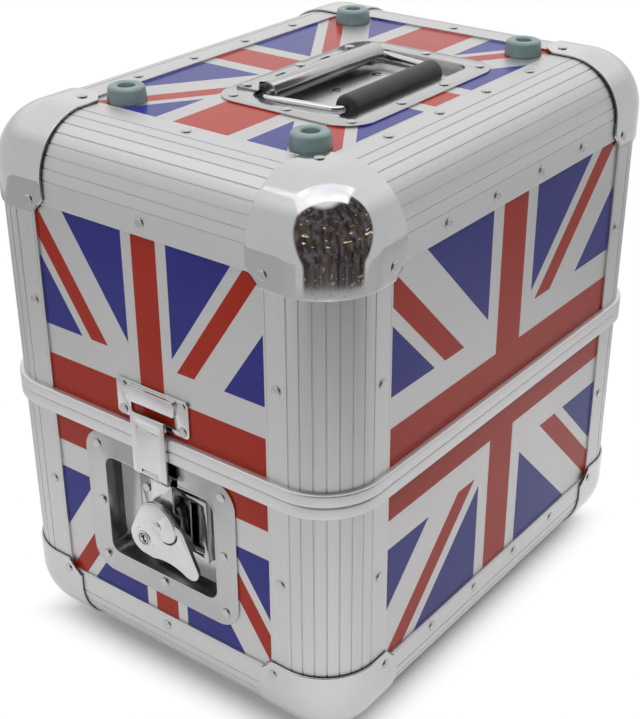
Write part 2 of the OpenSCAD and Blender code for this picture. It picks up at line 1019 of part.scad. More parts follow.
// Draw link: yoke round the eccentric and a strap that bends out to the arm's hinge
module latch_link() {
    yoke_z = hub_z - throw;
    strap_top = bend_z + link_t / 2;
    color(zinc)
        difference() {
            union() {
                plate_xz(link_front, link_back)
                    difference() {
                        union() {
                            translate([0, yoke_z])
                                rounded_rect(2 * (yoke_half_x + yoke_rim), 2 * (yoke_half_z + yoke_rim), 4);
                            translate([-link_w / 2, yoke_z + yoke_half_z])
                                square([link_w, strap_top - yoke_z - yoke_half_z]);
                        }
                        translate([0, yoke_z])
                            rounded_rect(2 * yoke_half_x, 2 * yoke_half_z, yoke_half_z - eps);
                    }
                translate([-centre_knuckle_w / 2, 0, 0])
                    turn_to_x()
                        linear_extrude(centre_knuckle_w)
                            polygon([[link_back, bend_z - link_t / 2], [link_back, strap_top],
                                     [knuckle_y + 0.9, knuckle_z + 0.4], [knuckle_y - 0.9, knuckle_z - 0.4],
                                     [link_front, bend_z - link_t / 2]]);
                translate([0, knuckle_y, knuckle_z])
                    bar_x(knuckle_r, -centre_knuckle_w / 2, centre_knuckle_w / 2);
            }
            translate([0, knuckle_y, knuckle_z])
                bar_x(arm_pin_r + pin_gap, -centre_knuckle_w, centre_knuckle_w);
        }
}

module arm_pin() {
    color(zinc)
        translate([0, knuckle_y, knuckle_z])
            bar_x(arm_pin_r, -arm_w / 2, arm_w / 2);
}

// Draw arm: folded channel with a short hook lip at its top and hinge knuckles below
module latch_arm() {
    top = split_z + arm_top;
    slot = centre_knuckle_w / 2 + knuckle_gap;
    side_z = knuckle_z + knuckle_r + 0.5;
    color(zinc)
        difference() {
            union() {
                translate([-arm_w / 2, arm_front, knuckle_z])
                    cube([arm_w, link_t, top - knuckle_z]);
                for (sx = [-1, 1])
                    mirror([sx > 0 ? 1 : 0, 0, 0]) {
                        translate([-arm_w / 2, arm_front, side_z])
                            cube([link_t, link_t + arm_side, top - side_z]);
                        translate([0, knuckle_y, knuckle_z])
                            bar_x(knuckle_r, -arm_w / 2, -slot);
                    }
                translate([-arm_w / 2, arm_front, top - link_t])
                    cube([arm_w, link_t + arm_side, link_t]);
            }
            translate([-slot, arm_front - over, knuckle_z - over])
                cube([2 * slot, link_t + 2 * over, knuckle_r + 0.6 + over]);
            translate([0, knuckle_y, knuckle_z])
                bar_x(arm_pin_r + pin_gap, -arm_w, arm_w);
            translate([-9, arm_front - over, top - 10.5])
                cube([18, over + 0.6, 2.8]);
        }
}

// Keeper: plate with a window, and a pressed bar above it that is open below
module keeper() {
    bar_z = keeper_window_z + keeper_window_h;
    bar_h = keeper_z + keeper_h - 2 - bar_z;
    bar_w = keeper_window_w + 4;
    color(zinc)
        difference() {
            union() {
                plate_xz(0, skin_t)
                    translate([0, keeper_z + keeper_h / 2])
                        rounded_rect(keeper_w, keeper_h, 3);
                plate_xz(-keeper_bar_out, 0)
                    translate([0, bar_z + bar_h / 2 - 0.5])
                        rounded_rect(bar_w, bar_h + 1, 2);
            }
            translate([-keeper_window_w / 2, -keeper_bar_out - over, keeper_window_z])
                cube([keeper_window_w, keeper_bar_out + skin_t + 2 * over, keeper_window_h - 1]);
            translate([-keeper_window_w / 2, -keeper_bar_out + keeper_bar_t, keeper_window_z])
                cube([keeper_window_w, keeper_bar_out + skin_t, keeper_window_h + bar_h - keeper_bar_t]);
        }
}

// Handle dish: plate on the lid with a shallow well for the grip
module handle_dish() {
    color(zinc) {
        translate([0, 0, plate_top - dish_t])
            linear_extrude(dish_t)
                difference() {
                    translate([dish_x0 + grip_dish_w / 2, 0])
                        rounded_rect(grip_dish_w, grip_dish_d, grip_dish_r);
                    handle_opening(0);
                }
        translate([0, 0, grip_floor])
            linear_extrude(plate_top - dish_t - grip_floor)
                difference() {
                    handle_opening(dish_t);
                    handle_opening(0);
                }
        translate([0, 0, grip_floor - dish_t])
            linear_extrude(dish_t)
                handle_opening(dish_t);
    }
}

// Strap: flat wing on the dish and a rolled half tube over the well, with a bushing near each end
module handle_strap() {
    color(zinc) {
        translate([0, 0, plate_top])
            linear_extrude(tube_t)
                difference() {
                    translate([strap_x0, -strap_y])
                        square([hinge_x - tube_r + tube_t - strap_x0, 2 * strap_y]);
                    for (sy = [-1, 1])
                        translate([slot_x, sy * slot_y]) {
                            square([2 * slot_r, slot_l], center = true);
                            for (e = [-1, 1])
                                translate([0, e * slot_l / 2])
                                    circle(slot_r, $fn = 32);
                        }
                }
        translate([hinge_x, tube_l / 2, plate_top])
            rotate([90, 0, 0])
                linear_extrude(tube_l)
                    difference() {
                        union() {
                            circle(tube_r);
                            translate([0, -1.5])
                                square([tube_r, 1.5]);
                        }
                        circle(tube_r - tube_t);
                        translate([-tube_r - over, -tube_r - over])
                            square([tube_r + over, tube_r + over]);
                        translate([-over, -tube_r - 1.5])
                            square([2 * tube_r, tube_r]);
                        translate([-over, -1.5])
                            square([tube_r - tube_t + over, 1.5]);
                    }
        for (sy = [-1, 1])
            translate([hinge_x, sy * bushing_y + bushing_l / 2, hinge_z])
                rotate([90, 0, 0])
                    linear_extrude(bushing_l)
                        difference() {
                            union() {
                                intersection() {
                                    translate([0, plate_top - hinge_z])
                                        circle(tube_r - tube_t / 2);
                                    translate([-tube_r, plate_top - hinge_z])
                                        square([2 * tube_r, tube_r]);
                                }
                                translate([-wire_r - 1.6, -wire_r - 1.6])
                                    square([2 * wire_r + 3.2, wire_r + 1.6 + plate_top - hinge_z + eps]);
                            }
                            circle(wire_r + pin_gap);
                        }
    }
}

// Straight and bent lengths of wire, each ending where its children start
module straight_wire(length) {
    rotate([0, 90, 0])
        cylinder(r = wire_r, h = length);
    translate([length, 0, 0])
        children();
}

module bent_wire(turn) {
    translate([0, bend_r, 0])
        rotate([0, 0, -90])
            rotate_extrude(angle = turn)
                translate([bend_r, 0])
                    circle(wire_r);
    translate([0, bend_r, 0])
        rotate([0, 0, turn])
            translate([0, -bend_r, 0])
                children();
}

// Half of the bail: along the hinge, out along an arm and in to the middle of the grip
module half_bail() {
    draw_in = (bail_w - bail_grip_w) / 2;
    lean = atan(draw_in / bail_l);
    arm_cut = bend_r * tan(45 + lean / 2);
    grip_cut = bend_r * tan(45 - lean / 2);
    rotate([0, 0, -90])
        straight_wire(bail_w / 2 - arm_cut)
            bent_wire(90 + lean)
                straight_wire(norm([bail_l, draw_in]) - arm_cut - grip_cut)
                    bent_wire(90 - lean)
                        straight_wire(bail_grip_w / 2 - grip_cut);
}

// Bail: round wire bent into a closed frame whose arms draw in towards the grip
module handle_bail() {
    color(chrome)
        translate([hinge_x, 0, hinge_z])
            for (m = [0, 1])
                mirror([0, m, 0])
                    half_bail();
}

module handle_grip() {
    round_r = 3.5;
    color(rubber_black)
        translate([grip_x, grip_l / 2, hinge_z])
            rotate([90, 0, 0])
                rotate_extrude()
                    difference() {
                        union() {
                            translate([0, round_r])
                                square([grip_r, grip_l - 2 * round_r]);
                            square([grip_r - round_r, grip_l]);
                            for (y = [round_r, grip_l - round_r])
                                translate([grip_r - round_r, y])
                                    circle(round_r, $fn = 48);
                        }
                        translate([-over, -over])
                            square([wire_r + pin_gap + over, grip_l + 2 * over]);
                        translate([-grip_r, -over])
                            square([grip_r, grip_l + 2 * over]);
                    }
}

base_end_panel(false);  // base_front_panel
base_end_panel(true);  // base_back_panel
base_side_panel(-1);  // base_left_panel
base_side_panel(1);  // base_right_panel
base_floor_panel();
base_upright(-1, -1);  // base_edge_front_left
base_upright(1, -1);  // base_edge_front_right
base_upright(-1, 1);  // base_edge_back_left
base_upright(1, 1);  // base_edge_back_right
in_base() cross_edge(-1);  // base_edge_bottom_front
in_base() cross_edge(1);  // base_edge_bottom_back
in_base() long_edge(-1);  // base_edge_bottom_left
in_base() long_edge(1);  // base_edge_bottom_right
base_band();
base_ball_corners();
base_feet();
base_fasteners();
base_foam();
lid_end_panel(false);  // lid_front_panel
lid_end_panel(true);  // lid_back_panel
lid_side_panel(-1);  // lid_left_panel
lid_side_panel(1);  // lid_right_panel
lid_top_panel();
lid_upright(-1, -1);  // lid_edge_front_left
lid_upright(1, -1);  // lid_edge_front_right
lid_upright(-1, 1);  // lid_edge_back_left
lid_upright(1, 1);  // lid_edge_back_right
in_lid() cross_edge(-1);  // lid_edge_top_front
in_lid() cross_edge(1);  // lid_edge_top_back
in_lid() long_edge(-1);  // lid_edge_top_left
in_lid() long_edge(1);  // lid_edge_top_right
lid_band();
lid_ball_corners();
lid_feet();
lid_fasteners();
lid_foam();
handle_dish();
handle_strap();
handle_bail();
handle_grip();
at_end(false) latch_dish();  // front_latch_dish
at_end(false) latch_bracket();  // front_latch_bracket
at_end(false) latch_pivot();  // front_latch_pivot
at_end(false) latch_cam();  // front_latch_cam
at_end(false) latch_wing();  // front_latch_wing
at_end(false) lock_cylinder();  // front_lock_cylinder
at_end(false) latch_link();  // front_latch_link
at_end(false) arm_pin();  // front_arm_pin
at_end(false) latch_arm();  // front_latch_arm
at_end(false) keeper();  // front_keeper
at_end(true) latch_dish();  // back_latch_dish
at_end(true) latch_bracket();  // back_latch_bracket
at_end(true) latch_pivot();  // back_latch_pivot
at_end(true) latch_cam();  // back_latch_cam
at_end(true) latch_wing();  // back_latch_wing
at_end(true) lock_cylinder();  // back_lock_cylinder
at_end(true) latch_link();  // back_latch_link
at_end(true) arm_pin();  // back_arm_pin
at_end(true) latch_arm();  // back_latch_arm
at_end(true) keeper();  // back_keeper
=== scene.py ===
import json
from math import acos, cos, degrees, pi, radians, sin, tan

import bmesh
import bpy
from mathutils import Matrix, Vector

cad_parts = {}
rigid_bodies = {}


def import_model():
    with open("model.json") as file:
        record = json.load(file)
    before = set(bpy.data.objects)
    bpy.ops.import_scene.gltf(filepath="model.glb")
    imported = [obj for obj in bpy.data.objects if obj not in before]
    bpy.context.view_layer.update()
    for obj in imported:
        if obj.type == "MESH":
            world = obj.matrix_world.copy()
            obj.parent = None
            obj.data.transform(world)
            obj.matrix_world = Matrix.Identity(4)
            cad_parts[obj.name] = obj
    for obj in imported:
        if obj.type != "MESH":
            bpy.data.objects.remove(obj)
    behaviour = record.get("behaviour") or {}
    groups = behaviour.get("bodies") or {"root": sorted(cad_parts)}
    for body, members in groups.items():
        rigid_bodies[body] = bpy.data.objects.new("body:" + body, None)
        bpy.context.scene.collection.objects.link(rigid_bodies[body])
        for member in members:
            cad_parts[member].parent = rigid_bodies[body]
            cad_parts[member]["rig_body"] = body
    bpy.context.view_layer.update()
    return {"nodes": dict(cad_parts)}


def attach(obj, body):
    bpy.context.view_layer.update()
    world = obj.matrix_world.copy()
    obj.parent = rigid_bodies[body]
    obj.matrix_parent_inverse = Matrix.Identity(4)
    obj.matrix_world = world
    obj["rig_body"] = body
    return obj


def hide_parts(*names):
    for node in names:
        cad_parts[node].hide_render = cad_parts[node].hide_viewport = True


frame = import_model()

nodes = frame["nodes"]
body_of_node = {name: node["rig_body"] for name, node in nodes.items()}

# Sizes in metres that the visual pieces share with the construction
mm = 0.001
half_w = 140 * mm
half_d = 183.5 * mm
body_z = 13.5 * mm
top_z = body_z + 371 * mm
split_z = body_z + 183.5 * mm
edge_r = 38 * mm
flange_end = 51 * mm
skin = 1.5 * mm
inner_face = 12 * mm
band_half = 8.5 * mm
plate_top = top_z - 0.3 * mm
latch_z = split_z - 63.1 * mm
lock_x = 12 * mm
lock_z = split_z - 74.6 * mm

# Directions in which the named ends and sides lie
ends = {"front": -1, "back": 1}
sides = {"left": -1, "right": 1}


# Shader expressions

class Signal:
    """A varying number in a shader, which adds, scales and compares like any other number."""

    def __init__(self, finish, socket):
        self.finish = finish
        self.socket = socket

    def _math(self, operation, *terms, **settings):
        return self.finish.node("ShaderNodeMath", {"operation": operation, **settings}, terms)

    def __add__(self, other):
        return self._math("ADD", self, other)

    def __radd__(self, other):
        return self._math("ADD", other, self)

    def __sub__(self, other):
        return self._math("SUBTRACT", self, other)

    def __rsub__(self, other):
        return self._math("SUBTRACT", other, self)

    def __mul__(self, other):
        return self._math("MULTIPLY", self, other)

    def __rmul__(self, other):
        return self._math("MULTIPLY", other, self)

    def __abs__(self):
        return self._math("ABSOLUTE", self)

    def __pow__(self, other):
        return self._math("POWER", self, other)

    def above(self, level, soft):
        """0 below the level, 1 above it, with an edge as wide as soft."""
        return self._math("MULTIPLY_ADD", self, 1 / soft, 0.5 - level / soft, use_clamp=True)

    def below(self, level, soft):
        return 1 - self.above(level, soft)

    def within(self, low, high, soft):
        return self.above(low, soft) * self.below(high, soft)

    def most(self, other):
        return self._math("MAXIMUM", self, other)

    def clamped(self):
        return self._math("ADD", self, 0.0, use_clamp=True)


class Finish:
    """A material, or the world, whose nodes are written as expressions."""

    def __init__(self, owner):
        owner.use_nodes = True
        self.owner = owner
        self.tree = owner.node_tree
        self.tree.nodes.clear()

    def node(self, kind, settings=None, values=(), output=0):
        """Adds a node with its settings and input values, and gives back one of its outputs."""
        made = self.tree.nodes.new(kind)
        for name, value in (settings or {}).items():
            setattr(made, name, value)
        pairs = values.items() if isinstance(values, dict) else enumerate(values)
        for key, value in pairs:
            socket = made.inputs[key]
            if isinstance(value, Signal):
                self.tree.links.new(value.socket, socket)
            else:
                socket.default_value = value
        return Signal(self, made.outputs[output]) if made.outputs else None

    def place(self, kind="Object"):
        """Coordinates of the point being shaded, as three numbers."""
        where = self.node("ShaderNodeTexCoord", output=kind)
        return [self.node("ShaderNodeSeparateXYZ", None, [where], axis) for axis in range(3)]

    def seen(self):
        """1 for what the camera sees itself, 0 for what only lights or mirrors."""
        return self.node("ShaderNodeLightPath", None, (), "Is Camera Ray")

    def vector(self, place, scale):
        """The place as a vector, multiplied by one scale or by one for each axis."""
        scales = scale if isinstance(scale, (list, tuple)) else [scale] * 3
        scaled = [part * factor for part, factor in zip(place, scales)]
        return self.node("ShaderNodeCombineXYZ", None, scaled)

    def noise(self, place, scale, detail=2.0, roughness=0.5):
        return self.node("ShaderNodeTexNoise", None,
                         {"Vector": self.vector(place, scale), "Scale": 1.0,
                          "Detail": detail, "Roughness": roughness})

    def cells(self, place, scale):
        """Rounded cells: 0 in their middles, rising to their borders."""
        return self.node("ShaderNodeTexVoronoi", None,
                         {"Vector": self.vector(place, scale), "Scale": 1.0})

    def mix(self, amount, first, second):
        return self.node("ShaderNodeMix", {"data_type": "RGBA"},
                         {0: amount, 6: first, 7: second}, 2)

    def bump(self, height, distance, strength=1.0, normal=None):
        values = {"Height": height, "Distance": distance, "Strength": strength}
        if normal is not None:
            values["Normal"] = normal
        return self.node("ShaderNodeBump", None, values)

    def surface(self, **values):
        """The closing shader; spaces in socket names are written as underscores."""
        named = {key.replace("_", " "): value for key, value in values.items()}
        shader = self.node("ShaderNodeBsdfPrincipled", None, named)
        self.node("ShaderNodeOutputMaterial", None, {"Surface": shader})
        return self.owner


def grey(level, warm=0.0):
    return (level * (1 + warm), level, level * (1 - warm), 1.0)


def new_finish(name):
    return Finish(bpy.data.materials.new(name))


# Metal finishes

def brushed_aluminium(name, along, level=0.60, metal=1.0):
    """Satin aluminium whose hairlines run along the named axes."""
    f = new_finish(name)
    place = f.place()

    def streaks(scale_along, scale_across, detail):
        scales = [scale_along if axis in along else scale_across for axis in "xyz"]
        return f.noise(place, scales, detail)

    hair = streaks(14, 2600, 1.0)
    band = streaks(14 / 3, 420, 2.0)
    cloud = f.noise(place, 9)
    tone = hair * 0.35 + band * 0.4 + cloud * 0.25
    colour = f.mix(tone.above(0.5, 0.7), grey(level * 0.93, 0.004), grey(level * 1.05, 0.004))
    rough = 0.34 + 0.10 * band + 0.06 * cloud
    return f.surface(Base_Color=colour, Metallic=metal, Roughness=rough,
                     Normal=f.bump(hair, 0.03 * mm, 0.35))


def plated_sheet(name, level, rough=0.19, slot=None, dull_lit_well=None):
    """Bright zinc with faint stains and handling marks.

    It can have a pressed slot, given by its height and half length, and is duller below the height
    of a well, where its colour is also painted lighter: painted light in the well.
    """
    f = new_finish(name)
    x, y, z = place = f.place()
    stain = f.noise(place, 38, 4.0, 0.6)
    grain = f.noise(place, 900)
    rub = f.noise((x * 60 + z * 300, y * 900, z * 240 - x * 400), 1, 1.0)
    colour = f.mix(stain.above(0.5, 0.5), grey(level * 0.95, 0.012), grey(level * 1.03, -0.004))
    dull = rough - 0.05 + 0.10 * stain + 0.06 * rub.above(0.62, 0.08)
    relief = f.bump(grain + 2.0 * stain, 0.02 * mm, 0.08)
    if slot:
        height, half_length = slot
        past_end = (abs(x) - half_length).most(0.0)
        rise = z - height
        away = (past_end * past_end + rise * rise) ** 0.5
        relief = f.bump(away.above(1.6 * mm, 1.2 * mm), 0.2 * mm, 1.0, relief)
    if dull_lit_well:
        inside = z.below(dull_lit_well, 1.0 * mm)
        # Painted light: below the well's height the colour turns a lighter grey, standing in for
        # light filling the well; the added roughness is the duller finish there.
        colour = f.mix(inside, colour, grey(0.70))
        dull = dull + 0.24 * inside
    return f.surface(Base_Color=colour, Metallic=1.0, Roughness=dull, Normal=relief)


def polished_chrome(name, level=0.555, rough=0.03):
    """Mirror plating with a breath of haze and hair scratches."""
    f = new_finish(name)
    place = f.place()
    haze = f.noise(place, 22, 3.0, 0.6)
    scratches = f.noise(place, (700, 60, 500), 0.0)
    crossing = f.noise(place, (60, 800, 420), 0.0)
    marks = scratches.above(0.74, 0.03).most(crossing.above(0.75, 0.03))
    colour = f.mix(haze.above(0.55, 0.3), grey(level * 0.97, 0.006), grey(level * 1.02, -0.004))
    return f.surface(Base_Color=colour, Metallic=1.0,
                     Roughness=rough + 0.05 * haze.above(0.5, 0.3) + 0.12 * marks,
                     Normal=f.bump(haze, 0.2 * mm, 0.10))


def lock_plug(name, across, level):
    """Plated plug with a turned ring and a tilted keyway with its wards, all painted near black as
    painted shade in their hollows.
    """
    f = new_finish(name)
    x, y, z = place = f.place()
    u, v = x - across, z - level
    tilt = radians(34.8)
    beside = abs(cos(tilt) * u + sin(tilt) * v)
    lengthwise = abs(cos(tilt) * v - sin(tilt) * u)
    soft = 0.3 * mm
    ring = ((u * u + v * v) ** 0.5).within(3.5 * mm, 4.2 * mm, soft)
    keyway = beside.below(0.55 * mm, soft) * lengthwise.below(3.1 * mm, soft)
    wards = beside.below(1.7 * mm, soft) * lengthwise.within(1.2 * mm, 2.2 * mm, soft)
    haze = f.noise(place, 300)
    # Painted shade: the ring, keyway and wards are coloured near black for the shade inside them,
    # and are also rougher and bumped in.
    painted_slot_shade = ring.most(keyway).most(wards)
    return f.surface(Base_Color=f.mix(painted_slot_shade, grey(0.58), grey(0.03)), Metallic=1.0,
                     Roughness=0.12 + 0.12 * haze + 0.35 * painted_slot_shade,
                     Normal=f.bump(1 - painted_slot_shade, 0.2 * mm, 0.7))


edge_x = brushed_aluminium("brushed_profile_across", "x")
edge_y = brushed_aluminium("brushed_profile_along", "y")
edge_up = brushed_aluminium("brushed_profile_upright", "z", 0.58)
band_finish = brushed_aluminium("brushed_band", "xy", 0.64, 0.82)
corner_chrome = polished_chrome("corner_chrome")
wire_chrome = polished_chrome("wire_chrome", 0.60, 0.06)
zinc = plated_sheet("zinc_sheet", 0.465)
zinc_inner = plated_sheet("zinc_mechanism", 0.50, 0.14)
zinc_latch = plated_sheet("zinc_latch", 0.64, 0.20)
zinc_arm = plated_sheet("zinc_arm", 0.64, 0.20, slot=(split_z + 14.5 * mm, 7.5 * mm))
lock_faces = {end: lock_plug(f"lock_{end}", way * lock_x, lock_z) for end, way in ends.items()}
zinc_strap = plated_sheet("zinc_strap", 0.46, 0.17)
# The handle dish's well is painted lighter, as painted light, and is rougher.
zinc_handle = plated_sheet("zinc_handle", 0.46, 0.19, dull_lit_well=plate_top - 2 * mm)
rivet_zinc = plated_sheet("zinc_rivets", 0.50, 0.22)


# Rubber and foam

def moulded_rubber(name, colour, rough, grain=0.3):
    f = new_finish(name)
    place = f.place()
    pores = f.noise(place, 1500, 3.0)
    dust = f.noise(place, 60, 4.0, 0.65)
    pale = tuple(min(1.0, part * 1.35 + 0.012) for part in colour[:3]) + (1.0,)
    tone = f.mix(dust.above(0.58, 0.25) * 0.6, colour, pale)
    return f.surface(Base_Color=tone, Roughness=rough + 0.12 * dust,
                     Specular_IOR_Level=0.6, Normal=f.bump(pores, 0.08 * mm, grain))


def soft_foam(name):
    f = new_finish(name)
    place = f.place()
    cells = f.cells(place, 700)
    cloud = f.noise(place, 25, 4.0)
    tone = f.mix((cells * 0.7 + cloud * 0.5).clamped(),
                 (0.012, 0.012, 0.013, 1), (0.05, 0.05, 0.054, 1))
    return f.surface(Base_Color=tone, Roughness=0.95, Specular_IOR_Level=0.15,
                     Normal=f.bump(cells, 0.8 * mm, 0.8))


foot_rubber = moulded_rubber("grey_green_rubber", (0.128, 0.182, 0.180, 1), 0.30)
grip_rubber = moulded_rubber("black_rubber", (0.010, 0.0115, 0.011, 1), 0.42, 0.5)
foam = soft_foam("lining_foam")


# Printed laminate

ink_blue = (0.018, 0.020, 0.165, 1)
ink_red = (0.280, 0.014, 0.003, 1)
flag_mid = (body_z + top_z) / 2
flag_half_h = 135 * mm
end_flag_half = 89.5 * mm
side_flag_half = 133 * mm
lining_in = 6 * mm

# The pattern's edges beside and above its middle, as shares of the flag's half sizes
red_cross = (0.109, 0.238)
pale_cross = (0.198, 0.392)
# Its slanted edges, as the share above less the share beside
upper_ray = (0.004, 0.156)
lower_ray = (-0.168, -0.008)
blue_from = 0.252
print_edge = 0.0035


def crossed_flag(across, up, half_across, half_up):
    """Masks (red, blue) of a counterchanged flag that fills a face, from the face's middle."""
    u = across * (1 / half_across)
    v = up * (1 / half_up)
    beside, above = abs(u), abs(v)
    slant = above - beside

    def upright_cross(arms):
        return beside.below(arms[0], print_edge).most(above.below(arms[1], print_edge))

    turned = (u * v).above(0.0, 1e-5)
    field = 1 - upright_cross(pale_cross)
    rays = (slant.within(*upper_ray, print_edge) * turned
            + slant.within(*lower_ray, print_edge) * (1 - turned))
    red = upright_cross(red_cross).most(rays * field)
    blue = abs(slant).above(blue_from, print_edge) * field
    return red, blue


def laminate(name, lining, flag=None):
    """Silver laminate with a dark lining, printed with the flag where one is given.

    The lining is (axis, level, way): it starts at the level and goes the way along the axis.
    The flag is (axes, ways, middle, half sizes): how it runs across and up the face.
    """
    f = new_finish(name)
    x, y, z = place = f.place()
    fleck = f.noise(place, 1800)
    cloud = f.noise(place, 14, 3.0)
    wipe = f.noise((x * 30 + z * 200, y * 30 + z * 120, z * 700), 1)
    colour = f.mix((0.55 * fleck + 0.45 * cloud).above(0.5, 0.5),
                   grey(0.50, 0.008), grey(0.58, 0.008))
    ink = 0.0
    if flag:
        axes, ways, middle, half_sizes = flag
        across, up = [way * (place[axis] - centre)
                      for axis, way, centre in zip(axes, ways, middle)]
        red, blue = crossed_flag(across, up, *half_sizes)
        colour = f.mix(blue, colour, ink_blue)
        colour = f.mix(red, colour, ink_red)
        colour = f.mix(cloud.above(0.62, 0.3) * 0.012, colour, grey(0.5))
        ink = (red + blue).clamped()
    axis, level, way = lining
    lined = (way * (place[axis] - level)).above(0.0, 0.4 * mm)
    shiny = 1 - lined
    weave = f.cells(place, 900)
    cloth = f.mix(weave, (0.020, 0.020, 0.022, 1), (0.055, 0.055, 0.060, 1))
    relief = f.bump(fleck * shiny + 6.0 * weave * lined, 0.03 * mm, 0.5)
    return f.surface(Base_Color=f.mix(lined, colour, cloth),
                     Metallic=(1 - ink) * shiny * 0.9,
                     Roughness=lined * 0.9 + shiny * (0.17 + 0.07 * wipe + 0.20 * (1 - ink)),
                     Specular_IOR_Level=0.18, Normal=relief)


def end_laminate(end):
    way = ends[end]
    return laminate(f"laminate_{end}", (1, way * (half_d - lining_in), -way),
                    ((0, 2), (-way, 1), (0, flag_mid), (end_flag_half, flag_half_h)))


def side_laminate(side):
    way = sides[side]
    return laminate(f"laminate_{side}", (0, way * (half_w - lining_in), -way),
                    ((1, 2), (way, 1), (0, flag_mid), (side_flag_half, flag_half_h)))


wall_laminates = {"front": end_laminate("front"), "back": end_laminate("back"),
                  "right": side_laminate("right"), "left": side_laminate("left")}
top_laminate = laminate("laminate_top", (2, top_z - lining_in, -1),
                        ((1, 0), (1, -1), (0, 0), (side_flag_half, end_flag_half)))
floor_laminate = laminate("laminate_floor", (2, body_z + lining_in, 1))


# Meshes

def in_scene(name, data):
    """A new object that is linked to the scene."""
    made = bpy.data.objects.new(name, data)
    bpy.context.scene.collection.objects.link(made)
    return made


def finished(name, mesh, material, body, stands_for):
    """Puts a finished mesh on a body in place of the construction node that it stands for."""
    mesh.materials.clear()
    mesh.materials.append(material)
    piece = in_scene(name, mesh)
    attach(piece, body)
    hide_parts(stands_for)


def smoothed(mesh, sharp):
    """The mesh, shaded smooth over edges that turn by less than the angle sharp."""
    mesh.shade_smooth()
    mesh.set_sharp_from_angle(angle=radians(sharp))
    return mesh


def bmesh_to_mesh(name, work, sharp=30):
    mesh = bpy.data.meshes.new(name)
    work.to_mesh(mesh)
    work.free()
    return smoothed(mesh, sharp)


def mesh_of(name, points, faces, sharp):
    """A closed mesh with outward faces."""
    work = bmesh.new()
    corners = [work.verts.new(point) for point in points]
    for face in faces:
        work.faces.new([corners[i] for i in face])
    bmesh.ops.recalc_face_normals(work, faces=work.faces)
    return bmesh_to_mesh(name, work, sharp)


def applied(piece):
    """The piece's mesh with its modifiers worked in; the piece itself goes."""
    scene_state = bpy.context.evaluated_depsgraph_get()
    mesh = bpy.data.meshes.new_from_object(piece.evaluated_get(scene_state))
    bpy.data.objects.remove(piece)
    return mesh


def softened(mesh, width, segments, angle=35):
    """The mesh with its edges rounded over where they turn by more than the angle."""
    piece = in_scene("work", mesh)
    bevel = piece.modifiers.new("rounding", "BEVEL")
    bevel.width = width
    bevel.segments = segments
    bevel.limit_method = "ANGLE"
    bevel.angle_limit = radians(angle)
    bevel.use_clamp_overlap = False
    return smoothed(applied(piece), 40)


def dressed(node_name, material, width, segments=2, trim=None):
    """A construction node with its edges broken, as a pressed or turned piece has them.

    Where trim is given, it first moves each point.
    """
    work = bmesh.new()
    work.from_mesh(nodes[node_name].data)
    bmesh.ops.remove_doubles(work, verts=work.verts, dist=1e-6)
    bmesh.ops.dissolve_limit(work, angle_limit=radians(0.4), verts=work.verts, edges=work.edges)
    if trim:
        for vert in work.verts:
            trim(vert.co)
    mesh = bmesh_to_mesh(node_name + "_form", work)
    finished(node_name + "_dressed", softened(mesh, width, segments), material,
             body_of_node[node_name], node_name)


def arc(centre, radius, start, stop, count):
    """Points on an arc, angles in degrees."""
    angles = [radians(start + (stop - start) * i / count) for i in range(count + 1)]
    return [(centre[0] + radius * cos(a), centre[1] + radius * sin(a)) for a in angles]


def ring_faces(rings, steps):
    """Faces between closed rings of points, each joined to the next and the last to the first."""
    faces = []
    for i in range(rings):
        low, high = i * steps, (i + 1) % rings * steps
        faces += [[low + k, low + (k + 1) % steps, high + (k + 1) % steps, high + k]
                  for k in range(steps)]
    return faces


def revolved(outline, steps):
    """Points and faces of a closed outline of (radius, height) pairs turned round the Z axis."""
    angles = [2 * pi * k / steps for k in range(steps)]
    points = [Vector((radius * cos(a), radius * sin(a), height))
              for radius, height in outline for a in angles]
    return points, ring_faces(len(outline), steps)


# Reeded edge profiles

groove_count = 8
groove_pitch = 7.6 * mm
groove_r = 0.42 * mm
flange_chamfer = 0.3 * mm
line_at = 49.3 * mm
line_half = 0.3 * mm
line_depth = 0.28 * mm
land_end = 42 * mm
corner_gap = 0.3 * mm
mitre_gap = 0.1 * mm


def mirrored(outline):
    """The outline reflected in the diagonal and walked the other way."""
    return [(b, a) for a, b in reversed(outline)]


def profile_outline():
    """The section of an edge profile, measured inwards from the case's outer edge."""
    middle = (edge_r, edge_r)
    turn = degrees(groove_pitch / edge_r)
    lip = degrees(groove_r * 1.15 / edge_r)
    first = 225 - (groove_count - 1) / 2 * turn
    flange = [(flange_end - flange_chamfer, 0), (line_at + line_half, 0), (line_at, line_depth),
              (line_at - line_half, 0), (land_end, 0)]
    curve = []
    reached = 270
    for i in reversed(range(groove_count)):
        at = first + i * turn
        curve += arc(middle, edge_r, reached, at + lip, 8)
        mouth = (edge_r + edge_r * cos(radians(at)), edge_r + edge_r * sin(radians(at)))
        curve += arc(mouth, groove_r, at + 80, at + 280, 6)
        reached = at - lip
    curve += arc(middle, edge_r, reached, 180, 8)
    web = edge_r + skin
    leg = inner_face - skin
    inside = [(flange_chamfer, flange_end), (skin, flange_end), (skin, web), (leg, web),
              (leg, flange_end), (inner_face, flange_end)]
    return (flange + curve + mirrored(flange)
            + inside + [(inner_face, inner_face)] + mirrored(inside))


def profile_bar(length, both_mitred):
    """An edge profile as points (a, b, along) and faces; its flanges are mitred at 45 degrees."""
    outline = profile_outline()
    count = len(outline)
    start = [max(edge_r + corner_gap, a + mitre_gap, b + mitre_gap) for a, b in outline]
    stop = [length - s if both_mitred else length for s in start]
    points = [(a, b, s) for cut in (start, stop) for (a, b), s in zip(outline, cut)]
    faces = [[i, (i + 1) % count, count + (i + 1) % count, count + i] for i in range(count)]
    faces += [list(range(count)), list(range(count, 2 * count))]
    return points, faces


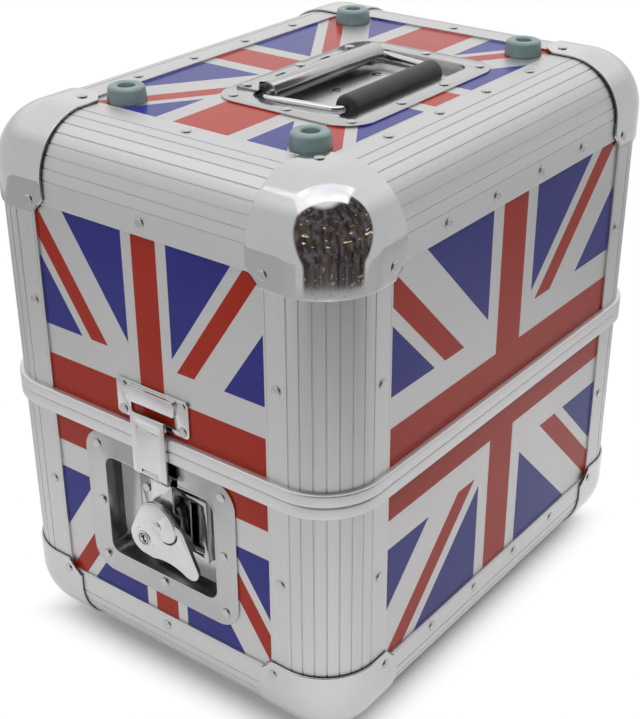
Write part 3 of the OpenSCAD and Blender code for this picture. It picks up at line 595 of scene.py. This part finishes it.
def edge_profile(node_name, shape, place, material):
    points, faces = shape
    mesh = mesh_of(node_name + "_form", [Vector(place(*point)) for point in points], faces, 25)
    finished(node_name + "_reeded", mesh, material, body_of_node[node_name], node_name)


def at_signs(sx, sy, x, y):
    """A place in the plan, from its distances to the two sides that meet in one corner."""
    return (sx * (half_w - x), sy * (half_d - y))


def build_edge_profiles():
    across = profile_bar(2 * half_w, True)
    along = profile_bar(2 * half_d, True)
    for half, level_name, up, level, height in (
            ("base", "bottom", 1, body_z, split_z - body_z - band_half),
            ("lid", "top", -1, top_z, top_z - split_z - band_half)):
        upright = profile_bar(height, False)
        for end, sy in ends.items():
            edge_profile(f"{half}_edge_{level_name}_{end}", across,
                         lambda a, b, w: (w - half_w, sy * (half_d - a), level + up * b), edge_x)
            for side, sx in sides.items():
                edge_profile(f"{half}_edge_{end}_{side}", upright,
                             lambda a, b, w: (*at_signs(sx, sy, a, b), level + up * w), edge_up)
        for side, sx in sides.items():
            edge_profile(f"{half}_edge_{level_name}_{side}", along,
                         lambda a, b, w: (sx * (half_w - b), w - half_d, level + up * a), edge_y)


# Ball corners

ball_r = 39.8 * mm
ball_reach = 61 * mm
ball_reach_up = 58 * mm
ball_cut = 10.5 * mm
ball_edge = 0.65 * mm


def ball_corner_sheet():
    """One ball corner at the origin, the case towards plus: an open sheet on its outer face."""
    curve_steps, flat_steps = 22, 10

    def rounded(x, y, z):
        spot = Vector((x, y, z))
        core = Vector([max(part, edge_r) for part in spot])
        away = spot - core
        return core + away * (ball_r / away.length)

    def steps(limit):
        curve = [edge_r * (1 - tan(radians(45 * (1 - i / curve_steps))))
                 for i in range(curve_steps)]
        flat = [edge_r + (limit - edge_r) * i / flat_steps for i in range(flat_steps + 1)]
        return curve + flat

    work = bmesh.new()
    level, rising = steps(ball_reach), steps(ball_reach_up)
    sheets = [(level, level, lambda u, v: (u, v, 0)), (level, rising, lambda u, v: (u, 0, v)),
              (level, rising, lambda u, v: (0, u, v))]
    for us, vs, lift in sheets:
        grid = [[work.verts.new(rounded(*lift(u, v))) for v in vs] for u in us]
        for i in range(len(us) - 1):
            for j in range(len(vs) - 1):
                work.faces.new([grid[i][j], grid[i + 1][j], grid[i + 1][j + 1], grid[i][j + 1]])
    bmesh.ops.remove_doubles(work, verts=work.verts, dist=1e-6)
    reaches = (ball_reach, ball_reach, ball_reach_up)
    for a, b in ((0, 1), (0, 2), (1, 2)):
        slanted = Vector((0, 0, 0))
        slanted[a] = slanted[b] = 1
        beyond = (reaches[a] + reaches[b] - ball_cut) / 2
        bmesh.ops.bisect_plane(work, geom=work.verts[:] + work.edges[:] + work.faces[:],
                               dist=1e-7, plane_co=slanted * beyond, plane_no=slanted,
                               clear_outer=True)
    bmesh.ops.recalc_face_normals(work, faces=work.faces)
    probe = min(work.faces, key=lambda face: face.calc_center_median().length)
    if probe.normal.dot(Vector((1, 1, 1))) > 0:
        bmesh.ops.reverse_faces(work, faces=work.faces)
    return work


def build_ball_corners():
    piece = in_scene("work", bmesh_to_mesh("ball_sheet", ball_corner_sheet()))
    wall = piece.modifiers.new("wall", "SOLIDIFY")
    wall.thickness = skin
    wall.offset = -1
    one = softened(applied(piece), ball_edge, 4, 50)
    for half, up, level in (("base", 1, body_z), ("lid", -1, top_z)):
        work = bmesh.new()
        for sx in (-1, 1):
            for sy in (-1, 1):
                corner = Vector((sx * half_w, sy * half_d, level))
                copy = one.copy()
                copy.transform(Matrix.Translation(corner) @ Matrix.Diagonal((-sx, -sy, up, 1)))
                if sx * sy * up < 0:
                    copy.flip_normals()
                work.from_mesh(copy)
                bpy.data.meshes.remove(copy)
        mesh = bmesh_to_mesh(half + "_ball_form", work, 40)
        finished(half + "_ball_caps", mesh, corner_chrome, half, half + "_ball_corners")


# Rivets and screws

# Head radius, head height and flatness
rivet_head = (3.2 * mm, 0.9 * mm, 0.2)
screw_head = (4.2 * mm, 1.6 * mm, 0.8)

rivet_in = 42.5 * mm
rivet_pitch = 52.7 * mm
base_upright_rivet_z = body_z + 119.5 * mm
lid_upright_rivet_z = top_z - 118.5 * mm
tab_rivet_in = 49 * mm
tab_rise = 1.8 * mm
latch_rivets = [(x * 52.5 * mm, z * 43.5 * mm)
                for x, z in ((-1, -1), (-1, 0), (-1, 1), (1, -1), (1, 0), (1, 1), (0, -1))]
latch_flange_depth = 0.3 * mm
bracket_rivet = (-20 * mm, 17.5 * mm)
bracket_depth = 10 * mm
keeper_rivets = [(x * mm, z * mm) for x in (-24.5, 24.5) for z in (16, 33.5)]
handle_dish_rivets = [(x * mm, y * mm)
                      for x, y in ((-23.5, 72.5), (20.5, 75), (65.5, 70.5), (68.5, 23.5))]
strap_wing_rivet = (-28 * mm, 54 * mm, plate_top + 1.2 * mm)
strap_well_rivet = (2 * mm, 44 * mm, top_z - 10.65 * mm)
foot_x = 71 * mm
foot_y = 116.5 * mm
base_foot_x = 73.5 * mm
base_foot_y = 119.5 * mm
base_screw_z = body_z + skin - 5 * mm
lid_screw_z = top_z - skin + 3 * mm


def head_tree(name):
    """Geometry Nodes: a domed head on every point, turned to its aim, with named sizes."""
    tree = bpy.data.node_groups.new(name, "GeometryNodeTree")
    face = tree.interface
    face.new_socket("Geometry", in_out="INPUT", socket_type="NodeSocketGeometry")
    for label, size in (("Head Radius", 3.2 * mm), ("Head Height", 1.3 * mm), ("Flatness", 0.55)):
        given_size = face.new_socket(label, in_out="INPUT", socket_type="NodeSocketFloat")
        given_size.default_value = size
    face.new_socket("Finish", in_out="INPUT", socket_type="NodeSocketMaterial")
    face.new_socket("Geometry", in_out="OUTPUT", socket_type="NodeSocketGeometry")

    def add(kind, settings=None, values=None):
        made = tree.nodes.new(kind)
        for key, value in (settings or {}).items():
            setattr(made, key, value)
        for key, value in (values or {}).items():
            if isinstance(value, bpy.types.NodeSocket):
                tree.links.new(value, made.inputs[key])
            else:
                made.inputs[key].default_value = value
        return made.outputs

    def math(operation, first, second):
        return add("ShaderNodeMath", {"operation": operation}, {0: first, 1: second})[0]

    given = add("NodeGroupInput")
    ball = add("GeometryNodeMeshUVSphere", None, {"Segments": 28, "Rings": 16, "Radius": 1.0})
    where = add("GeometryNodeInputPosition")[0]
    x, y, z = add("ShaderNodeSeparateXYZ", None, {0: where})
    crown = math("POWER", math("MAXIMUM", z, 0.0), given["Flatness"])
    domed = add("ShaderNodeCombineXYZ", None, {
        0: math("MULTIPLY", x, given["Head Radius"]),
        1: math("MULTIPLY", y, given["Head Radius"]),
        2: math("MULTIPLY", crown, given["Head Height"])})[0]
    shaped = add("GeometryNodeSetPosition", None, {"Geometry": ball["Mesh"], "Position": domed})
    aim = add("GeometryNodeInputNamedAttribute", {"data_type": "FLOAT_VECTOR"}, {"Name": "aim"})
    turned = add("FunctionNodeAlignRotationToVector", {"axis": "Z"}, {"Vector": aim["Attribute"]})
    spots = add("GeometryNodeMeshToPoints", None, {"Mesh": given["Geometry"]})
    many = add("GeometryNodeInstanceOnPoints", None, {
        "Points": spots["Points"], "Instance": shaped["Geometry"],
        "Rotation": turned["Rotation"]})
    real = add("GeometryNodeRealizeInstances", None, {"Geometry": many["Instances"]})
    smooth = add("GeometryNodeSetShadeSmooth", None, {"Geometry": real["Geometry"]})
    dyed = add("GeometryNodeSetMaterial", None, {
        "Geometry": smooth["Geometry"], "Material": given["Finish"]})
    add("NodeGroupOutput", None, {"Geometry": dyed["Geometry"]})
    return tree


heads_on_points = head_tree("rivet_heads")


def heads(name, spots, sizes):
    """A plain mesh of heads at (place, aim) pairs."""
    mesh = bpy.data.meshes.new(name)
    mesh.from_pydata([place for place, aim in spots], [], [])
    aims = mesh.attributes.new("aim", "FLOAT_VECTOR", "POINT")
    for entry, (place, aim) in zip(aims.data, spots):
        entry.vector = aim
    piece = in_scene(name, mesh)
    modifier = piece.modifiers.new("heads", "NODES")
    modifier.node_group = heads_on_points
    ids = {item.name: item.identifier for item in heads_on_points.interface.items_tree
           if item.in_out == "INPUT"}
    for label, size in zip(("Head Radius", "Head Height", "Flatness"), sizes):
        modifier[ids[label]] = size
    modifier[ids["Finish"]] = rivet_zinc
    return applied(piece)


def half_rivets(up, level, middle_z):
    """Rivets of one half: along the flanges and on the tabs of the ball corners."""
    spots = []
    for sx in (-1, 1):
        for step in (-1.5, -0.5, 0.5, 1.5):
            y = step * rivet_pitch
            spots += [((sx * half_w, y, level + up * rivet_in), (sx, 0, 0)),
                      ((sx * (half_w - rivet_in), y, level), (0, 0, -up))]
        for sy in (-1, 1):
            spots += [((sx * half_w, sy * (half_d - rivet_in), middle_z), (sx, 0, 0)),
                      ((sx * (half_w - rivet_in), sy * half_d, middle_z), (0, sy, 0))]
            near, far = tab_rivet_in, -tab_rise
            spots += [((*at_signs(sx, sy, near, far), level + up * near), (0, sy, 0)),
                      ((*at_signs(sx, sy, far, near), level + up * near), (sx, 0, 0)),
                      ((*at_signs(sx, sy, near, near), level + up * far), (0, 0, -up))]
    for sy in (-1, 1):
        spots += [((0, sy * half_d, level + up * rivet_in), (0, sy, 0)),
                  ((0, sy * (half_d - rivet_in), level), (0, 0, -up))]
    return spots


def at_both_ends(x, depth, z):
    """A spot on the front end, at a depth behind the flange plane, and its twin at the back."""
    return [((x, -half_d + depth, z), (0, -1, 0)), ((-x, half_d - depth, z), (0, 1, 0))]


def base_rivets():
    spots = half_rivets(1, body_z, base_upright_rivet_z)
    for x, rise in latch_rivets:
        spots += at_both_ends(x, latch_flange_depth, latch_z + rise)
    x, rise = bracket_rivet
    return spots + at_both_ends(x, bracket_depth, latch_z + rise)


def lid_rivets():
    spots = half_rivets(-1, top_z, lid_upright_rivet_z)
    for x, rise in keeper_rivets:
        spots += at_both_ends(x, 0, split_z + rise)
    upward = (0, 0, 1)
    for x, y in handle_dish_rivets:
        spots += [((x, way * y, plate_top), upward) for way in (-1, 1)]
    for x, y, z in (strap_wing_rivet, strap_well_rivet):
        spots += [((x, step * y, z), upward) for step in (-1, 0, 1)]
    return spots


def build_rivets():
    base_screws = (base_foot_x, base_foot_y, base_screw_z, -1)
    lid_screws = (foot_x, foot_y, lid_screw_z, 1)
    for half, rivets, (x, y, z, aim) in (("base", base_rivets(), base_screws),
                                         ("lid", lid_rivets(), lid_screws)):
        screws = [((sx * x, sy * y, z), (0, 0, aim)) for sx in (-1, 1) for sy in (-1, 1)]
        work = bmesh.new()
        work.from_mesh(heads(half + "_rivet_form", rivets, rivet_head))
        work.from_mesh(heads(half + "_screw_form", screws, screw_head))
        finished(half + "_rivets", bmesh_to_mesh(half + "_heads", work, 60), rivet_zinc, half,
                 half + "_fasteners")


# Feet on the lid

def foot_outline():
    """Radius and height of a low rubber foot, with a stepped screw hole down its middle."""
    outline = [(2.5 * mm, 0)]
    outline += arc((11.9 * mm, 0.5 * mm), 0.5 * mm, -90, 6, 4)
    outline += [(12.3 * mm, 2.5 * mm), (12.05 * mm, 5.0 * mm)]
    outline += arc((9.3 * mm, 7.6 * mm), 2.4 * mm, 8, 90, 9)
    outline += arc((6.6 * mm, 8.7 * mm), 1.3 * mm, 90, 180, 6)
    outline += [(5.1 * mm, 6.0 * mm), (4.9 * mm, 3.3 * mm), (4.5 * mm, 3.0 * mm),
                (2.5 * mm, 3.0 * mm)]
    return outline


def build_lid_feet():
    foot_points, foot_faces = revolved(foot_outline(), 56)
    points, faces = [], []
    for sx in (-1, 1):
        for sy in (-1, 1):
            middle = Vector((sx * foot_x, sy * foot_y, top_z - skin))
            faces += [[i + len(points) for i in face] for face in foot_faces]
            points += [middle + point for point in foot_points]
    mesh = mesh_of("lid_feet_form", points, faces, 40)
    finished("lid_rubber_feet", mesh, foot_rubber, "lid", "lid_feet")


# Handle

hinge = Vector((-9 * mm, 0, top_z - 2.15 * mm))
bail_reach = 53 * mm
bail_half_at_hinge = 62 * mm
bail_half_at_grip = 54 * mm
bail_bend_r = 5 * mm
wire_r = 2.75 * mm
grip_half = 48.5 * mm
grip_r = 8.2 * mm
grip_end_r = 3.2 * mm
grip_bore_r = 2.8 * mm


def build_grip():
    """A rubber sleeve with rounded ends, a little uneven along its length."""
    straight = grip_half - grip_end_r
    outline = [(grip_bore_r, -grip_half)]
    outline += arc((grip_r - grip_end_r, -straight), grip_end_r, -90, 0, 8)
    outline += [(grip_r * (1 + 0.004 * cos(i * 1.3)), -straight + i * straight / 12)
                for i in range(1, 24)]
    outline += arc((grip_r - grip_end_r, straight), grip_end_r, 0, 90, 8)
    outline += [(grip_bore_r, grip_half)]
    points, faces = revolved(outline, 64)
    middle = hinge + Vector((bail_reach, 0, 0))
    lying = [middle + Vector((point.x, point.z, point.y)) for point in points]
    mesh = mesh_of("grip_form", lying, faces, 50)
    finished("rubber_grip", mesh, grip_rubber, "handle", "handle_grip")


def filleted(corners, radius, steps=10):
    """A closed path through flat corners with rounded turns."""
    path = []
    for i, here in enumerate(corners):
        before, after = corners[i - 1], corners[(i + 1) % len(corners)]
        come = (here - before).normalized()
        go = (after - here).normalized()
        turn = acos(max(-1, min(1, come.dot(go))))
        start = here - come * (radius * tan(turn / 2))
        inward = Vector((-come.y, come.x, 0))
        if inward.dot(go) < 0:
            inward = -inward
        centre = start + inward * radius
        for k in range(steps + 1):
            a = turn * k / steps
            path.append(centre + come * (radius * sin(a)) - inward * (radius * cos(a)))
    return path


def swept_ring(path, radius, steps=24):
    """Points and faces of a round wire along a closed flat path."""
    upward = Vector((0, 0, 1))
    points = []
    for i, here in enumerate(path):
        heading = (path[(i + 1) % len(path)] - path[i - 1]).normalized()
        aside = upward.cross(heading)
        for k in range(steps):
            a = 2 * pi * k / steps
            points.append(here + radius * (cos(a) * aside + sin(a) * upward))
    return points, ring_faces(len(path), steps)


def build_bail():
    corners = [hinge + Vector((x, y, 0)) for x, y in (
        (0, -bail_half_at_hinge), (bail_reach, -bail_half_at_grip),
        (bail_reach, bail_half_at_grip), (0, bail_half_at_hinge))]
    mesh = mesh_of("bail_form", *swept_ring(filleted(corners, bail_bend_r), wire_r), 60)
    finished("wire_bail", mesh, wire_chrome, "handle", "handle_bail")


# Pieces that keep their construction form

# How far their edges are broken
sheet_edge = 0.2 * mm
mechanism_edge = 0.15 * mm
well_edge = 0.3 * mm
rubber_edge = 0.3 * mm
band_edge = 0.55 * mm
foam_edge = 1.2 * mm

# Corner centres and corner radius of the handle dish's rim, as constructed and as drawn in
rim_left, rim_right, rim_side, rim_r = -24 * mm, 61 * mm, 67 * mm, 16 * mm
drawn_left, drawn_right, drawn_side, drawn_r = -16.5 * mm, 55.5 * mm, 61.5 * mm, 20 * mm
# The strap's half length as constructed and as drawn in, and how much narrower its wing is
strap_half, strap_drawn_half, wing_drawn_in = 61 * mm, 59 * mm, 3.5 * mm
wing_starts, ends_start = -20 * mm, 58 * mm


def trim_dish(spot):
    """Draws in the corners of the handle dish's rim, with a wider bend."""
    slack = 0.1 * mm
    at_corner = spot.x < rim_left + slack or spot.x > rim_right - slack
    if abs(spot.y) > rim_side - slack and at_corner:
        old, new = (rim_left, drawn_left) if spot.x < 0 else (rim_right, drawn_right)
        side = 1 if spot.y > 0 else -1
        spot.x = new + drawn_r * (spot.x - old) / rim_r
        spot.y = side * (drawn_side + drawn_r * (abs(spot.y) - rim_side) / rim_r)


def trim_strap(spot):
    """Draws in the strap's wing and its two ends."""
    if spot.x < wing_starts:
        spot.x += wing_drawn_in
    if abs(spot.y) > ends_start:
        spot.y *= strap_drawn_half / strap_half


def dress_sheet_metal():
    for end in ends:
        dressed(f"{end}_latch_dish", zinc, sheet_edge)
        dressed(f"{end}_latch_arm", zinc_arm, sheet_edge)
        dressed(f"{end}_keeper", zinc_latch, sheet_edge)
        for part in ("latch_bracket", "latch_cam"):
            dressed(f"{end}_{part}", zinc_inner, mechanism_edge)
        for part in ("latch_wing", "latch_link", "latch_pivot", "arm_pin"):
            dressed(f"{end}_{part}", zinc_latch, mechanism_edge)
        dressed(f"{end}_lock_cylinder", lock_faces[end], mechanism_edge)
    dressed("handle_dish", zinc_handle, well_edge, trim=trim_dish)
    dressed("handle_strap", zinc_strap, sheet_edge, trim=trim_strap)


def dress_bands_and_soft_pieces():
    dressed("base_feet", foot_rubber, rubber_edge)
    for half in ("base", "lid"):
        dressed(f"{half}_band", band_finish, band_edge, 3)
        dressed(f"{half}_foam", foam, foam_edge, 3)


def paint(node_name, material):
    nodes[node_name].data.materials[0] = material


def paint_panels():
    for wall, material in wall_laminates.items():
        for half in ("base", "lid"):
            paint(f"{half}_{wall}_panel", material)
    paint("lid_top_panel", top_laminate)
    paint("base_floor_panel", floor_laminate)


build_edge_profiles()
build_ball_corners()
build_rivets()
build_lid_feet()
build_grip()
build_bail()
dress_sheet_metal()
dress_bands_and_soft_pieces()
paint_panels()


# Camera, stage and light

def place_camera():
    azimuth, elevation, roll = radians(37.6374), radians(28.116), radians(-0.2957)
    back = Vector((sin(azimuth) * cos(elevation), -cos(azimuth) * cos(elevation), sin(elevation)))
    right = Vector((0, 0, 1)).cross(back).normalized()
    up = back.cross(right)
    right, up = cos(roll) * right + sin(roll) * up, cos(roll) * up - sin(roll) * right
    turn = Matrix((right, up, back)).transposed().to_4x4()
    camera = in_scene("camera", bpy.data.cameras.new("camera"))
    camera.data.lens = 69.42
    camera.data.sensor_width = 36
    place = Vector((524.08 * mm, -696.54 * mm, body_z + 628.75 * mm))
    camera.matrix_world = Matrix.Translation(place) @ turn
    bpy.context.scene.camera = camera


def lay_floor():
    """A white table with painted shade that greys it far out, which the camera sees as white
    beyond the case's foot.
    """
    f = new_finish("pale_table")
    x, y, z = f.place()
    beside = (abs(x) - half_w).most(abs(y) - half_d)
    # Painted shade: the table's grey falls from 0.79 near the case to 0.42 far out, standing in
    # for light falling off with distance.
    tone = f.mix(beside.above(0.27, 0.40), grey(0.79), grey(0.42))
    paper = f.node("ShaderNodeBsdfDiffuse", None, {"Color": tone})
    glow = f.node("ShaderNodeEmission", None, {"Color": grey(1.0), "Strength": 1.0})
    clear = beside.above(-0.01, 0.03) * f.seen()
    shade = f.node("ShaderNodeMixShader", None, {0: clear, 1: paper, 2: glow})
    f.node("ShaderNodeOutputMaterial", None, {"Surface": shade})
    west, south, north = -1.0, -1.0, 1.0
    bite = arc((half_w - edge_r, edge_r - half_d), 0.745, -96, 6, 16)
    rim = [(west, south), (bite[0][0], south)] + bite + [(bite[-1][0], north), (west, north)]
    mesh = bpy.data.meshes.new("table")
    mesh.from_pydata([(x, y, 0) for x, y in rim], [], [list(range(len(rim)))])
    mesh.materials.append(f.owner)
    in_scene("table", mesh)


def light_studio():
    """A pale tent with a bright roof panel, open to a dim room on the camera's side."""
    world = bpy.data.worlds.new("studio")
    bpy.context.scene.world = world
    f = Finish(world)
    x, y, z = f.place("Generated")
    facing = radians(37.6)
    ahead = x * sin(facing) - y * cos(facing)
    aside = x * cos(facing) + y * sin(facing)
    bearing = f.node("ShaderNodeMath", {"operation": "ARCTAN2"}, [aside, ahead])

    left_edge = (bearing + 0.45 * z).above(-0.75, 0.08)
    right_edge = (bearing - 0.6 * z).below(1.42, 0.08)
    opening = left_edge * right_edge * z.within(-0.75, 0.93, 0.05)
    stripes = f.noise((bearing, z, bearing), (7, 1.5, 3), 3.0)
    blobs = f.noise((x, y, z), (9, 9, 5))
    sparks = f.noise((x * 5 + 4, y * 5, z * 24), 1, 0.0)
    far_lamps = sparks.above(0.76, 0.03) * z.within(0.1, 0.7, 0.05)
    room = f.mix(stripes.above(0.5, 0.35), (0.020, 0.018, 0.030, 1), (0.125, 0.088, 0.062, 1))
    room = f.mix(blobs.above(0.58, 0.2), room, (0.17, 0.17, 0.19, 1))
    room = f.mix(far_lamps, room, (1.3, 1.15, 0.8, 1))

    tent = f.mix((z - 0.5 * ahead).above(0.60, 0.25), (0.78, 0.79, 0.80, 1), (1.12, 1.12, 1.12, 1))
    panel = (aside.within(-0.60, 0.55, 0.05)
             * (ahead + 0.22 * aside).within(-0.38, 0.20, 0.06) * z.above(0.0, 0.04))
    folds = f.noise((ahead, aside, z), (4, 1.2, 9), 1.0)
    roof = f.mix(folds.above(0.5, 0.4), (1.5, 1.44, 1.56, 1), (1.9, 1.9, 1.9, 1))

    lit = f.mix(panel, f.mix(opening, tent, room), roof)
    sky = f.node("ShaderNodeBackground", None,
                 {"Color": f.mix(f.seen(), lit, grey(1.0)), "Strength": 1.0})
    f.node("ShaderNodeOutputWorld", None, {"Surface": sky})
    for name, power, place in (("front_soft_box", 20, (0.35, -2.1, 1.5)),
                               ("high_soft_box", 30, (0.9, -0.2, 2.1))):
        lamp = bpy.data.lights.new(name, "AREA")
        lamp.size = 1.5
        lamp.energy = power
        aim = Vector((0, 0, 0.2)) - Vector(place)
        turn = aim.to_track_quat("-Z", "Y").to_matrix().to_4x4()
        stand = in_scene(name, lamp)
        stand.matrix_world = Matrix.Translation(place) @ turn
        stand.visible_glossy = False


place_camera()
lay_floor()
light_studio()
bpy.context.scene.view_settings.view_transform = "Standard"
